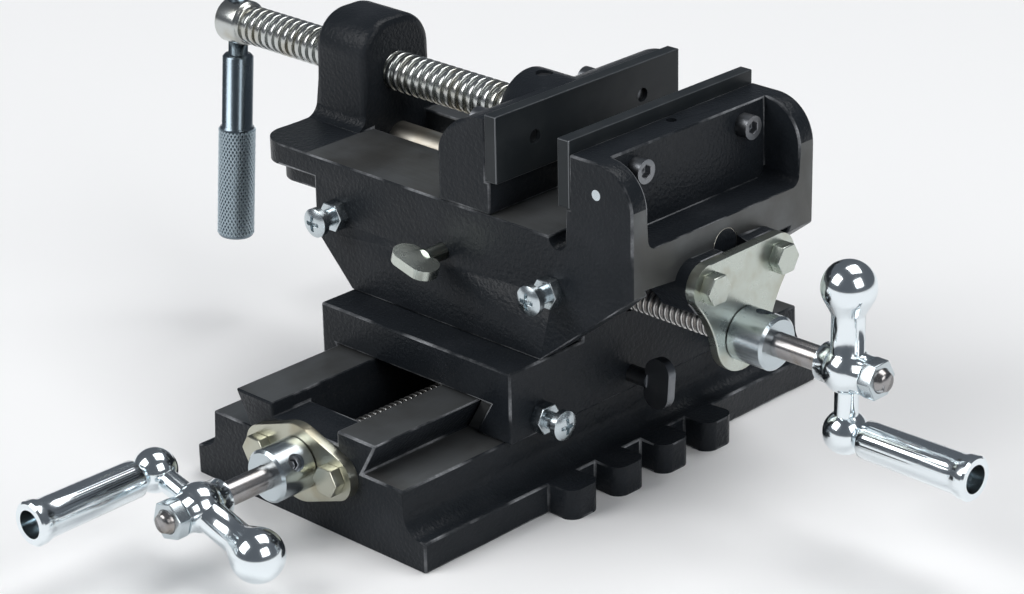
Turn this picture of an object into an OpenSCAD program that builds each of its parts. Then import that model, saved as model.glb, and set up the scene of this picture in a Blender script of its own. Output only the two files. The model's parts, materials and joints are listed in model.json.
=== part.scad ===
// Cross slide vise: a drill-press vise on two dovetail slides at right angles.
// X is the way the jaws open, Y is the way the saddle travels on the base, Z is up.
// The origin is at the centre of the underside of the base.

/* [Base] */
// Length of the base along Y
base_long = 165; // [150:1:185]
// Width of the foot
foot_wide = 92; // [86:1:104]
// Thickness of the foot
foot_thick = 9; // [7:0.5:12]
// Width across the upstanding walls
wall_wide = 76; // [70:1:80]
// Height of the flat shoulder beside the dovetail
shoulder_high = 22; // [20:0.5:26]
// Radius where a wall runs into the foot
foot_fillet = 6; // [2:0.5:8]
// Width across the top of the male dovetail
way_wide = 56; // [52:1:60]
// Height of the dovetail above its shoulder
way_rise = 10; // [8:0.5:12]
// Angle of every dovetail flank
flank_angle = 60; // [55:1:65]
// Width of the trough between the rails
trough_wide = 26; // [24:1:30]
// Thickness of the floor under the trough
trough_floor = 6; // [4:0.5:8]
// Thickness of the walls that close the trough
end_wall = 14; // [12:1:20]
// Step from the rails down to the top of those walls
end_wall_drop = 4; // [0.5:0.5:6]

/* [Hold-down lugs] */
// Lugs on each side of the foot
lug_count = 4; // [2:1:5]
// Width of one lug
lug_wide = 12; // [9:0.5:14]
// Distance from lug to lug
lug_pitch = 19; // [17:0.5:24]
// How far the lugs stand out from the foot
lug_reach = 9; // [6:0.5:14]
// Radius of the corners of a lug
lug_round = 4; // [2:0.5:4.5]

/* [Saddle] */
// Length of the saddle along Y
saddle_long = 99; // [90:1:110]
// Place of the middle of the saddle along Y
saddle_rest = 6; // [-10:1:12]
// From the middle of the base to the plain side
saddle_left = 34.2; // [33:0.2:36]
// From the middle of the base to the gib side
saddle_right = 40.6; // [39:0.2:44]
// Thickness of the saddle above the lower dovetail
saddle_roof = 11.3; // [9:0.1:14]
// Height of the neck that lifts the cross dovetail
neck_high = 16.4; // [15:0.2:20]
// Height of the cross dovetail
cross_way_rise = 12; // [10:0.5:14]
// Width across the top of the cross dovetail
cross_way_wide = 54; // [48:1:55]
// Width of the groove along the top of the cross dovetail
groove_wide = 24; // [22.5:0.5:27]
// Depth of that groove
groove_deep = 6; // [5:0.2:7]

/* [Vise body] */
// Width of the jaws and of the vise body
jaw_wide = 75; // [72:1:84]
// Rear end of the skirts
skirt_rear = 48; // [46:1:50]
// Rear end of the lower edge of the skirts
skirt_low_rear = 34; // [30:1:38]
// Front end of the lower edge of the skirts
skirt_low_front = 40.4; // [36:0.2:44]
// Rise of the sloping rear end of the skirts
rear_slope_rise = 14.4; // [8:0.2:18]
// Rise of the sloping front end of the skirts
front_slope_rise = 27.3; // [20:0.2:28]
// Thickness of the skirts below the dovetail
skirt_thick = 8; // [6:0.2:10]
// Front end face of the vise body
body_front = 74.8; // [73:0.2:80]
// Thickness of the bed over the cross dovetail
bed_thick = 9.3; // [8.5:0.1:13]
// Length of the shelf behind the skirts
shelf_long = 24; // [22:0.5:30]
// Thickness of the shelf
shelf_thick = 12.1; // [11:0.1:14]
// Thickness of the shelf's upper lip
shelf_lip = 6.6; // [4:0.1:8]
// Inset of the shelf below its lip
shelf_inset = 3; // [1:0.5:5]
// Radius of the rear corners of the shelf
shelf_round = 9; // [5:0.5:12]
// Width of the slot between the two rails
slot_wide = 21.4; // [20:0.2:22]

/* [Nut boss] */
// Length of the boss that holds the clamp screw
boss_long = 21; // [18:0.5:23]
// Width of the boss
boss_wide = 27; // [24:0.5:32]
// Radius of the upper corners of the boss
boss_round = 11; // [6:0.5:11.5]
// Wall of the boss above the clamp screw
boss_cap = 10.5; // [6:0.5:14]
// Radius of the fillet at the foot of the boss
boss_fillet = 5; // [2:0.5:8]
// Depth by which that fillet dips into the metal, so that it ends at an edge
fillet_dip = 0.15; // [0.1:0.05:0.3]

/* [Fixed jaw] */
// Face of the fixed jaw below its plate
jaw_face = 51; // [50:0.2:53]
// Height of the fixed jaw above the bed
jaw_high = 25.3; // [24:0.1:30]
// Thickness of the wall behind the plate
jaw_wall = 11; // [9:0.5:12]
// Radius of the back of the cheeks
cheek_round = 12.5; // [10:0.5:16]
// Thickness of the cheeks
cheek_thick = 6.2; // [5:0.2:10]
// Height of the pocket floor above the bed
pocket_floor = 2; // [1:0.5:6]
// Radius of the pocket's lower corners
pocket_round = 3; // [1:0.5:6]
// Radius of the relief at the foot of the jaw
relief_round = 3.2; // [2:0.2:4]
// Diameter of the pin in the near cheek
cheek_pin_thick = 3; // [2:0.5:6]
// Depth of that pin below the top of the jaw
cheek_pin_drop = 9; // [6:0.5:14]
// Diameter of the small hole in the top of the jaw
stop_hole = 3; // [2:0.2:4]
// Depth of that hole
stop_hole_deep = 8; // [4:0.5:10]

/* [Jaw plates] */
// Thickness of a jaw plate
plate_thick = 4.2; // [3:0.1:6]
// Height of a jaw plate
plate_high = 19.4; // [16:0.2:22]
// How far the plates stand above the fixed jaw
plate_proud = 3.8; // [1:0.2:5]
// Depth of the rebate that seats a plate
plate_rebate = 1.4; // [0.6:0.1:2.4]
// Distance between the two screws of a plate
plate_screw_pitch = 44; // [36:1:50]
// Diameter of the plate screws
plate_screw_thick = 4; // [3:0.5:6]
// Head of a plate screw against its thickness
socket_head_ratio = 1.7; // [1.5:0.05:1.8]
// Hexagon socket of a plate screw against its thickness
socket_ratio = 0.8; // [0.6:0.05:0.9]

/* [Moving jaw] */
// Opening between the two plates
jaw_gap = 22.8; // [5:0.2:30]
// Thickness of the moving jaw
moving_thick = 20.4; // [18:0.2:24]
// Radius of the upper back edge
moving_round = 18; // [12:0.5:19]
// Depth of the moving jaw's top below its plate
moving_drop = 1.6; // [0.4:0.2:3]
// Radius of the back corners, seen from above
moving_corner = 2; // [1:0.5:6]
// Diameter of the hub that takes the clamp screw
hub_thick = 26; // [23:0.5:28]
// Depth of the tongue in the slot of the bed
tongue_deep = 13; // [12.2:0.1:14]

/* [Clamp screw] */
// Height of the clamp screw above the bed
clamp_high = 15; // [14.6:0.1:18]
// Outer diameter of the thread
clamp_thick = 12; // [10:0.5:14]
// Diameter of the plain end in the moving jaw
clamp_journal = 10; // [8.5:0.5:11.5]
// Length of the plain end in the moving jaw
clamp_seat = 12.2; // [11:0.2:15]
// Depth of the groove that the retaining pin sits in
retainer_groove = 1.5; // [1:0.1:2]
// Length of thread behind the moving jaw
clamp_long = 117; // [110:1:130]
// Diameter of the head
clamp_head_thick = 14; // [12:0.5:17]
// Length of the head
clamp_head_long = 12; // [11:0.5:16]
// Diameter of the stud that retains the screw in the jaw
retainer_thick = 5; // [4:0.5:6]

/* [Clamp handle] */
// Turn of the handle away from hanging straight down
handle_turn = 5; // [-20:1:20]
// Diameter of the stud that enters the head
handle_stud = 6; // [5:0.5:8]
// Length of bare stud below the head
handle_neck = 3.5; // [0:0.5:8]
// Diameter of the smooth shank
handle_shank_thick = 9.6; // [7:0.2:11]
// Length of the smooth shank
handle_shank_long = 23; // [15:0.5:30]
// Diameter of the knurled end
handle_knurl_thick = 11.6; // [9:0.2:13]
// Length of the knurled end
handle_knurl_long = 36; // [25:0.5:45]

/* [Guide rod] */
// Diameter of the guide rod
rod_thick = 10; // [8:0.2:10.6]
// Depth of the guide rod's axis below the bed
rod_low = 6; // [5.6:0.1:7]
// Metal beside the rod in its rib
rod_rib_side = 3; // [2:0.5:5]
// Metal under the rod in its rib
rod_rib_under = 2; // [1:0.5:3]

/* [Lead screws] */
// Height of the lower lead screw above the table
base_axis_high = 19.3; // [16:0.1:20]
// Height of the cross lead screw above the ledge
cross_axis_high = 8.2; // [8:0.1:9]
// Outer diameter of the lead screw threads
lead_thick = 9; // [8:0.2:10]
// Diameter of the plain outer ends
lead_journal = 7; // [6:0.2:7.6]
// Diameter of the thrust collars
collar_thick = 12; // [10.5:0.5:14]
// Thickness of the thrust collars
collar_long = 3; // [2:0.5:5]
// Length of the lower thread behind its collar
base_thread_long = 142; // [132:1:142]
// Length of the cross thread behind its collar
cross_thread_long = 117; // [112:1:124]
// Length of a lead nut
nut_long = 22; // [16:1:26]
// Width of a lead nut
nut_wide = 20; // [17:0.5:22]
// Diameter of the spigot that joins the lower nut to the saddle
spigot_thick = 11; // [8:0.5:14]
// Length of that spigot
spigot_long = 8; // [5:0.5:8.5]

/* [Brackets] */
// Thickness of the bracket plates
bracket_thick = 3; // [2:0.2:4]
// Diameter of the set collar outside a bracket
set_collar = 15.4; // [13:0.2:17]
// Length of that collar with its clearance
set_collar_long = 12; // [9:0.5:14]
// Chamfer of that collar
set_collar_bevel = 0.8; // [0.4:0.1:1.2]
// Distance from a bolt to the middle line
bracket_bolt_half = 14.3; // [13:0.1:16]
// Radius of the plate round a bolt
bracket_ear = 6.6; // [6:0.2:8]
// Radius of the middle of the base bracket
bracket_waist = 11.5; // [10:0.5:12.5]
// Height of the cross bracket's bolts over its screw
cross_bolt_rise = 18; // [16:0.5:19]
// Radius of the lower end of the cross bracket
cross_bracket_low = 11; // [9:0.5:12]
// Diameter of the set screw in a collar
set_screw = 5; // [4:0.5:6]
// Length of that screw
set_screw_long = 2.4; // [2:0.1:3]
// Turn of the lower collar's set screw from upright
base_collar_turn = 55; // [0:5:360]
// Turn of the cross collar's set screw from upright
cross_collar_turn = 12; // [0:1:360]
// Width across flats of the bracket bolts
bolt_hex = 8; // [7:0.5:9]
// Height of the bolt heads
bolt_head = 3.6; // [2.5:0.1:5]
// Diameter of the bracket bolts
bolt_thick = 5; // [4:0.5:6]
// Length of a bolt behind its bracket
bolt_grip = 9; // [6:0.5:10]
// Width of the lug on the vise body that carries the bracket
cross_lug_wide = 48; // [44:1:52]
// Distance by which that lug stands out from the end face
cross_lug_proud = 4; // [2:0.5:6]
// Thickness of that lug
cross_lug_thick = 13; // [11:0.5:14]
// Depth of that lug below the bolts
cross_lug_low = 8.8; // [7:0.2:9]

/* [Cranks] */
// Turn of the lower crank about its screw
base_crank_turn = 254; // [0:1:360]
// Distance from a bracket boss to the middle of its crank
crank_reach = 23.5; // [20:0.5:28]
// Diameter of the hub ball
hub_ball = 14; // [13:0.2:16]
// Diameter of the flat-faced hub sleeve
hub_sleeve = 11; // [10:0.2:13]
// Length of the hub sleeve
hub_sleeve_long = 15; // [14:0.5:18]
// Diameter of the large ball
large_ball = 15.2; // [14:0.2:18]
// Distance of the large ball from the screw
large_ball_reach = 23.5; // [20:0.5:28]
// Diameter of the small ball
small_ball = 12.6; // [12:0.2:15]
// Distance of the small ball from the screw
small_ball_reach = 18.5; // [17:0.5:24]
// Diameter of the neck under the large ball
large_neck = 9.2; // [7.5:0.2:10]
// Distance from the screw at which that neck starts to widen
neck_start = 16; // [12:0.5:17]
// Diameter of the neck under the small ball
small_neck = 6.6; // [6:0.2:8]
// Width across flats of the crank nut
crank_nut_hex = 10; // [9:0.5:12]
// Height of the crank nut
crank_nut_high = 4; // [3:0.5:6]
// Length of the screw end beyond the crank nut
crank_tip = 2; // [0.5:0.5:4]

/* [Grips] */
// Length of a grip
grip_long = 36; // [30:0.5:44]
// Diameter of a grip beside the arm
grip_thick = 10.6; // [9.5:0.1:12]
// Diameter of the flared end of a grip
grip_flare = 12.6; // [11:0.1:14]
// Diameter of the open bore at the end
grip_bore = 8; // [7.4:0.1:8.6]
// Depth of the open bore
grip_bore_deep = 14; // [9:0.5:18]
// Diameter of the grip's pin
grip_pin = 5; // [4:0.2:5.4]
// Diameter of the pin's head
grip_pin_head = 7; // [6.2:0.1:7.2]

/* [Gibs and locks] */
// Thickness of a gib strip
gib_thick = 4; // [3:0.1:4.6]
// Diameter of the gib screws and the lock screws
gib_screw = 5; // [4:0.5:6]
// Distance of the saddle's gib screws from its middle
saddle_gib_half = 37.7; // [30:0.5:42]
// Place of the middle of the body's gib screws along X
body_gib_middle = 3.7; // [0:0.1:6]
// Distance of the body's gib screws from that middle
body_gib_half = 42; // [36:0.5:43]
// Width across flats of the gib lock nuts
gib_nut_hex = 8; // [7:0.5:10]
// Thickness of the gib lock nuts
gib_nut_high = 3.6; // [2.5:0.1:5]
// Length of bare thread between the lock nut and the screw head
gib_screw_bare = 4; // [0.5:0.5:8]
// Diameter of the gib screw heads
gib_head = 8.6; // [7.5:0.2:10]
// Thickness of the gib screw heads
gib_head_high = 3; // [2:0.2:4]
// Rise of the dome on those heads
dome_rise = 1.2; // [0.6:0.1:1.6]
// Length of the cross recess in those heads
recess_long = 4.8; // [4:0.2:6]
// Width of that recess
recess_wide = 1.2; // [0.8:0.1:1.6]
// Depth of that recess
recess_deep = 1.6; // [1:0.1:2]
// Length of shank that shows under a lock screw's wing
lock_bare = 6; // [3:0.5:10]
// Width of a lock screw's wing
wing_wide = 15; // [12:0.5:18]
// Depth of the wing along its screw
wing_deep = 9; // [7:0.5:12]
// Thickness of the wing
wing_thick = 3; // [2:0.2:4]
// Turn of the saddle's wing about its screw
saddle_wing_turn = 85; // [-90:5:90]
// Turn of the body's wing about its screw
body_wing_turn = -15; // [-90:5:90]

/* [Fits] */
// Radial clearance of a turning or sliding round fit
round_fit = 0.05; // [0.02:0.01:0.1]
// Clearance between sliding flat faces
slide_fit = 0.1; // [0.05:0.01:0.2]
// Clearance over the top of a dovetail
roof_fit = 0.3; // [0.2:0.05:0.6]
// Free room round a lead screw and past its end
screw_gap = 1; // [0.5:0.1:2]
// Room left in front of the moving jaw's tongue when the jaws are closed
slot_end_room = 0.6; // [0.3:0.1:1]

/* [Hidden] */
$fn = 64;
// A little more than enough for a cut to pass a face
past = 1;
cast_black = [0.11, 0.11, 0.13];
machined = [0.36, 0.34, 0.32];
bright_zinc = [0.80, 0.82, 0.84];
yellow_zinc = [0.74, 0.68, 0.50];
steel = [0.62, 0.60, 0.56];
dark_steel = [0.20, 0.20, 0.21];
nut_bronze = [0.62, 0.47, 0.26];

// Run of a dovetail flank for each unit of rise, and the fits measured along the level
flank_run = 1 / tan(flank_angle);
flank_fit = slide_fit / sin(flank_angle);
flank_gib = (gib_thick + 2 * slide_fit) / sin(flank_angle);
gib_face = (gib_thick + slide_fit) / sin(flank_angle);

way_top = shoulder_high + way_rise;
waist_half = way_wide / 2 - way_rise * flank_run;
saddle_low = shoulder_high + slide_fit;
saddle_ceiling = way_top + roof_fit;
ledge_z = saddle_ceiling + saddle_roof;
neck_top = ledge_z + neck_high;
cross_way_top = neck_top + cross_way_rise;
neck_half = cross_way_wide / 2 - cross_way_rise * flank_run;
skirt_z = ledge_z + slide_fit;
body_ceiling = cross_way_top + roof_fit;
bed_z = body_ceiling + bed_thick;
mid_y = saddle_rest;
near_y = mid_y - jaw_wide / 2;
far_y = mid_y + jaw_wide / 2;
shelf_rear = -skirt_rear - shelf_long;
boss_front = shelf_rear + boss_long;
boss_top = bed_z + clamp_high + clamp_thick / 2 + boss_cap;
jaw_top = bed_z + jaw_high;
jaw_wall_back = jaw_face + jaw_wall;
clamp_z = bed_z + clamp_high;
rod_z = bed_z - rod_low;
rod_rib_half = rod_thick / 2 + rod_rib_side;
rod_rib_low = rod_z - rod_thick / 2 - rod_rib_under;
cheek_pin_x = jaw_wall_back;
cheek_pin_z = jaw_top - cheek_pin_drop;

plate_top = jaw_top + plate_proud;
plate_low = plate_top - plate_high;
plate_screw_z = plate_low + plate_high / 2;
plate_screw_head = plate_screw_thick * socket_head_ratio;
fixed_plate_back = jaw_face + plate_rebate;
fixed_plate_face = fixed_plate_back - plate_thick;
moving_plate_face = fixed_plate_face - jaw_gap;
moving_plate_back = moving_plate_face - plate_thick;
moving_front = moving_plate_back + plate_rebate;
moving_back = moving_front - moving_thick;
slot_front = moving_front + jaw_gap + slot_end_room;
plate_screw_end = plate_thick / 3;

clamp_shoulder = moving_back - roof_fit;
clamp_head_front = clamp_shoulder - clamp_long;
clamp_head_middle = clamp_head_front - clamp_head_long / 2;
retainer_x = moving_back + clamp_seat / 2;
groove_half = clamp_journal / 2 - retainer_groove;
handle_seat = clamp_head_thick / 2 + handle_neck;

cross_axis_z = ledge_z + cross_axis_high;
cross_seat = body_front + cross_lug_proud;
collar_end = bracket_thick + set_collar_long;
crank_z = collar_end + crank_reach;
crank_nut_z = crank_z + hub_sleeve_long / 2;
grip_start = crank_z + small_ball / 2 + roof_fit;
grip_floor = grip_start + grip_long - grip_bore_deep;
screw_room = lead_thick + 2 * screw_gap;
base_bolts = [[-bracket_bolt_half, 0], [bracket_bolt_half, 0]];
cross_bolts = [[-bracket_bolt_half, cross_bolt_rise], [bracket_bolt_half, cross_bolt_rise]];
nut_low = cross_axis_z - nut_wide / 2;
nut_middle = (saddle_right - saddle_left) / 2;

base_bore_deep = max(end_wall, collar_long + base_thread_long) + screw_gap;

saddle_gib_z = shoulder_high + way_rise / 2;
body_gib_z = neck_top + cross_way_rise / 2;
saddle_screw_tip = waist_half + gib_face + (way_rise + gib_screw) / 2 * flank_run + slide_fit;
body_screw_tip = neck_half + gib_face + (cross_way_rise + gib_screw) / 2 * flank_run + slide_fit;
saddle_screw_in = saddle_right - saddle_screw_tip;
body_screw_in = jaw_wide / 2 - body_screw_tip;
gib_screw_out = gib_nut_high + gib_screw_bare;

// Straight prisms from an outline: along X the outline is in Y and Z, along Y it is in X and Z
module along_x(from, to) {
    translate([from, 0, 0])
        rotate([90, 0, 90])
            linear_extrude(to - from)
                children();
}

module along_y(from, to) {
    translate([0, to, 0])
        rotate([90, 0, 0])
            linear_extrude(to - from)
                children();
}

module bar_x(thick, from, to, y, z) {
    translate([from, y, z])
        rotate([0, 90, 0])
            cylinder(d = thick, h = to - from);
}

module bar_y(thick, from, to, x, z) {
    translate([x, to, z])
        rotate([90, 0, 0])
            cylinder(d = thick, h = to - from);
}

module bar_z(thick, from, to, x, y) {
    translate([x, y, from])
        cylinder(d = thick, h = to - from);
}

module box(low, high) {
    translate(low)
        cube(high - low);
}

module hexagon(across, high) {
    cylinder(d = across / cos(30), h = high, $fn = 6);
}

// A tab that starts inside its parent and ends in two rounded corners
module rounded_tab(reach, wide, round) {
    translate([-past, -wide / 2])
        square([reach - round + past, wide]);
    translate([0, round - wide / 2])
        square([reach, wide - 2 * round]);
    for (side = [-1, 1])
        translate([reach - round, side * (wide / 2 - round)])
            circle(round);
}

// The outline of two discs and the straight lines that touch both
module joined_discs(a, a_round, b, b_round) {
    gap = norm(b - a);
    heading = atan2(b.y - a.y, b.x - a.x);
    lean = acos((a_round - b_round) / gap);
    function rim(c, r, turn) = c + r * [cos(heading + turn), sin(heading + turn)];
    translate(a)
        circle(a_round);
    translate(b)
        circle(b_round);
    polygon([
        rim(a, a_round, lean), rim(b, b_round, lean),
        rim(b, b_round, -lean), rim(a, a_round, -lean)
    ]);
}

// The concave web between two discs, hollowed by an arc that touches both
module hollow_web(a, a_round, b, b_round, arc, side) {
    gap = norm(b - a);
    to_a = a_round + arc;
    to_b = b_round + arc;
    along = (gap * gap + to_a * to_a - to_b * to_b) / (2 * gap);
    out = sqrt(to_a * to_a - along * along);
    line = (b - a) / gap;
    middle = a + line * along + side * out * [-line.y, line.x];
    difference() {
        polygon([a, b, middle]);
        translate(middle)
            circle(arc);
    }
}

// Places on the two lead screws: the local Z axis runs outwards from the bracket's seat
module at_base_screw() {
    translate([0, -base_long / 2, base_axis_high])
        rotate([90, 0, 0])
            children();
}

module at_cross_screw() {
    translate([cross_seat, mid_y, cross_axis_z])
        rotate([90, 0, 90])
            children();
}

// Places on the side faces: the local Z axis runs outwards from the face
module at_saddle_side(along) {
    translate([saddle_right, mid_y + along, saddle_gib_z])
        rotate([90, 0, 90])
            children();
}

module at_body_side(along) {
    translate([along, near_y, body_gib_z])
        rotate([90, 0, 0])
            children();
}

// The male dovetail's half outline is a waist that widens upwards; a female one adds its fits
module dovetail(left, right, low, high) {
    spread = (high - low) * flank_run;
    polygon([[-left, low], [right, low], [right + spread, high], [-left - spread, high]]);
}

module foot_outline() {
    translate([-foot_wide / 2, 0])
        square([foot_wide, foot_thick]);
    translate([-wall_wide / 2, 0])
        square([wall_wide, shoulder_high]);
    for (side = [0, 1])
        mirror([side, 0])
            translate([wall_wide / 2, foot_thick])
                difference() {
                    square(foot_fillet);
                    translate([foot_fillet, foot_fillet])
                        circle(foot_fillet);
                }
    dovetail(waist_half, waist_half, shoulder_high, way_top);
}

module hold_down_lugs() {
    for (side = [0, 180])
        rotate(side)
            for (i = [0 : lug_count - 1])
                translate([foot_wide / 2, (i - (lug_count - 1) / 2) * lug_pitch, 0])
                    linear_extrude(foot_thick)
                        rounded_tab(lug_reach, lug_wide, lug_round);
}

module base_bolt_holes() {
    at_base_screw()
        for (side = [-1, 1])
            translate([side * bracket_bolt_half, 0, -bolt_grip - past])
                cylinder(d = bolt_thick + 2 * round_fit, h = bolt_grip + 2 * past);
}

module base_casting() {
    color(cast_black)
        difference() {
            union() {
                along_y(-base_long / 2, base_long / 2)
                    foot_outline();
                hold_down_lugs();
            }
            box([-trough_wide / 2, -base_long / 2 - past, way_top - end_wall_drop],
                [trough_wide / 2, base_long / 2 + past, way_top + past]);
            box([-trough_wide / 2, end_wall - base_long / 2, trough_floor],
                [trough_wide / 2, base_long / 2 - end_wall, way_top]);
            at_base_screw() {
                translate([0, 0, -base_bore_deep])
                    cylinder(d = screw_room, h = base_bore_deep + past);
                translate([0, 0, -collar_long - roof_fit])
                    cylinder(d = collar_thick + past, h = collar_long + roof_fit + past);
            }
            base_bolt_holes();
        }
}

// Flat bracket with a bore for the screw and two bolt holes
module bracket(bolts) {
    difference() {
        union() {
            linear_extrude(bracket_thick)
                children();
            cylinder(d = set_collar, h = bracket_thick);
        }
        translate([0, 0, -past])
            cylinder(d = lead_journal + 2 * round_fit, h = bracket_thick + 2 * past);
        for (bolt = bolts)
            translate([bolt.x, bolt.y, -past])
                cylinder(d = bolt_thick + 2 * round_fit, h = bracket_thick + 2 * past);
    }
}

module at_set_screw(turn) {
    translate([0, 0, bracket_thick + set_collar_long / 2])
        rotate(-turn)
            rotate([-90, 0, 0])
                children();
}

// The collar that keeps a screw in its bracket
module collar(turn) {
    bore = lead_journal / 2 + round_fit;
    rim = set_collar / 2;
    seat = bracket_thick + roof_fit;
    difference() {
        rotate_extrude()
            polygon([
                [bore, seat], [rim, seat], [rim, collar_end - set_collar_bevel],
                [rim - set_collar_bevel, collar_end], [bore, collar_end]
            ]);
        at_set_screw(turn)
            cylinder(d = set_screw + 2 * round_fit, h = set_collar);
    }
}

// Set screw with a hexagon socket, from the screw's flank outwards
module collar_screw(turn) {
    at_set_screw(turn)
        translate([0, 0, lead_journal / 2 + slide_fit])
            difference() {
                cylinder(d = set_screw, h = set_screw_long);
                translate([0, 0, set_screw_long / 2])
                    hexagon(set_screw / 2, set_screw_long);
            }
}

module bracket_bolts(bolts) {
    for (bolt = bolts)
        translate([bolt.x, bolt.y, 0]) {
            translate([0, 0, -bolt_grip])
                cylinder(d = bolt_thick, h = bolt_grip + bracket_thick);
            translate([0, 0, bracket_thick])
                hexagon(bolt_hex, bolt_head);
        }
}

module base_bracket() {
    color(yellow_zinc)
        at_base_screw()
            bracket(base_bolts)
                for (bolt = base_bolts)
                    joined_discs([0, 0], bracket_waist, bolt, bracket_ear);
}

module base_bracket_bolts() {
    color(yellow_zinc)
        at_base_screw()
            bracket_bolts(base_bolts);
}

// Lead screw with its collar behind the bracket and a plain end that carries the crank
module lead_screw(thread_long) {
    translate([0, 0, -collar_long - thread_long])
        cylinder(d = lead_thick, h = thread_long);
    translate([0, 0, -collar_long])
        cylinder(d = collar_thick, h = collar_long);
    cylinder(d = lead_journal, h = crank_nut_z + crank_nut_high);
    translate([0, 0, crank_nut_z + crank_nut_high])
        cylinder(d1 = lead_journal, d2 = lead_journal - 2, h = crank_tip);
}

module base_lead_screw() {
    color(steel)
        at_base_screw()
            lead_screw(base_thread_long);
}

// Crank arm: a large and a small ball on tapered arms, with a hub ball between them
// The large ball with its neck, along Z from the hub; the neck widens into the ball
module pear() {
    slope = asin((large_ball - large_neck) / (2 * (large_ball_reach - neck_start)));
    side = large_ball / 2 * cos(slope);
    meet = large_ball_reach - large_ball / 2 * sin(slope);
    rotate_extrude()
        polygon([[0, 0], [large_neck / 2, 0], [large_neck / 2, neck_start], [side, meet], [0, meet]]);
    translate([0, 0, large_ball_reach])
        sphere(d = large_ball);
}

module crank_arm() {
    difference() {
        translate([0, 0, crank_z]) {
            sphere(d = hub_ball);
            translate([0, 0, -hub_sleeve_long / 2])
                cylinder(d = hub_sleeve, h = hub_sleeve_long);
            rotate([-90, 0, 0])
                pear();
            rotate([90, 0, 0])
                cylinder(d = small_neck, h = small_ball_reach);
            translate([0, -small_ball_reach, 0])
                sphere(d = small_ball);
        }
        cylinder(d = lead_journal + 2 * round_fit, h = crank_z + hub_ball);
        translate([0, -small_ball_reach, crank_z])
            cylinder(d = grip_pin + 2 * round_fit, h = small_ball);
    }
}

module crank_nut() {
    translate([0, 0, crank_nut_z])
        difference() {
            hexagon(crank_nut_hex, crank_nut_high);
            translate([0, 0, -past])
                cylinder(d = lead_journal + 2 * round_fit, h = crank_nut_high + 2 * past);
        }
}

module grip_pin() {
    head_high = grip_pin / 2;
    translate([0, -small_ball_reach, 0]) {
        translate([0, 0, crank_z])
            cylinder(d = grip_pin, h = grip_floor + roof_fit - crank_z);
        translate([0, 0, grip_floor + roof_fit])
            cylinder(d = grip_pin_head, h = head_high);
    }
}

// Tubular grip that widens to a flared lip, open at its end
module grip() {
    lip = 2.4;
    lip_step = 0.7;
    chamfer = 0.6;
    hole = grip_pin / 2 + round_fit;
    start = grip_thick / 2;
    flare = grip_flare / 2;
    translate([0, -small_ball_reach, grip_start])
        rotate_extrude()
            polygon([
                [hole, 0], [start - chamfer, 0], [start, chamfer],
                [flare - lip_step, grip_long - 2 * lip], [flare, grip_long - lip],
                [flare, grip_long - chamfer], [flare - chamfer, grip_long],
                [grip_bore / 2, grip_long], [grip_bore / 2, grip_long - grip_bore_deep],
                [hole, grip_long - grip_bore_deep]
            ]);
}

module at_base_crank() {
    at_base_screw()
        rotate(base_crank_turn)
            children();
}

module base_collar() {
    color(bright_zinc)
        at_base_screw()
            collar(base_collar_turn);
}

module base_collar_screw() {
    color(dark_steel)
        at_base_screw()
            collar_screw(base_collar_turn);
}

module base_crank_arm() {
    color(bright_zinc)
        at_base_crank()
            crank_arm();
}

module base_crank_nut() {
    color(bright_zinc)
        at_base_crank()
            crank_nut();
}

module base_grip_pin() {
    color(dark_steel)
        at_base_crank()
            grip_pin();
}

module base_grip() {
    color(bright_zinc)
        at_base_crank()
            grip();
}

module saddle_block() {
    along_y(mid_y - saddle_long / 2, mid_y + saddle_long / 2)
        difference() {
            translate([-saddle_left, saddle_low])
                square([saddle_left + saddle_right, ledge_z - saddle_low]);
            dovetail(waist_half + flank_fit, waist_half + flank_gib, shoulder_high, saddle_ceiling);
        }
}

module cross_way() {
    translate([0, mid_y, 0])
        along_x(-saddle_left, saddle_right)
            difference() {
                union() {
                    translate([-neck_half, ledge_z - past])
                        square([2 * neck_half, neck_high + past]);
                    dovetail(neck_half, neck_half, neck_top, cross_way_top);
                }
                translate([-groove_wide / 2, cross_way_top - groove_deep])
                    square([groove_wide, groove_deep + past]);
            }
}

module side_screw_hole(tip_depth) {
    translate([0, 0, -tip_depth - past])
        cylinder(d = gib_screw + 2 * round_fit, h = tip_depth + 2 * past);
}

module saddle_casting() {
    color(cast_black)
        difference() {
            union() {
                saddle_block();
                cross_way();
            }
            bar_x(screw_room, -saddle_left - past, saddle_right + past, mid_y, cross_axis_z);
            box([nut_middle - nut_long / 2, mid_y - nut_wide / 2, nut_low],
                [nut_middle + nut_long / 2, mid_y + nut_wide / 2, cross_way_top + past]);
            bar_z(spigot_thick + 2 * round_fit, saddle_ceiling - past, saddle_ceiling + spigot_long,
                0, mid_y);
            for (along = [-saddle_gib_half, 0, saddle_gib_half])
                at_saddle_side(along)
                    side_screw_hole(saddle_screw_in);
        }
}

module saddle_gib() {
    color(machined)
        along_y(mid_y - saddle_long / 2 + past, mid_y + saddle_long / 2 - past)
            difference() {
                dovetail(0, waist_half + gib_face, saddle_low, way_top);
                dovetail(past, waist_half + flank_fit, saddle_low - past, way_top + past);
            }
}

// Gib screw with a round head that stands off its lock nut
// Pan head with a domed top and a cross recess
module pan_head() {
    rim = gib_head_high - dome_rise;
    dome = (pow(gib_head / 2, 2) + pow(dome_rise, 2)) / (2 * dome_rise);
    difference() {
        intersection() {
            cylinder(d = gib_head, h = gib_head_high);
            translate([0, 0, rim + dome_rise - dome])
                sphere(dome);
        }
        for (turn = [0, 90])
            rotate(turn)
                translate([-recess_long / 2, -recess_wide / 2, gib_head_high - recess_deep])
                    cube([recess_long, recess_wide, recess_deep + past]);
    }
}

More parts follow.
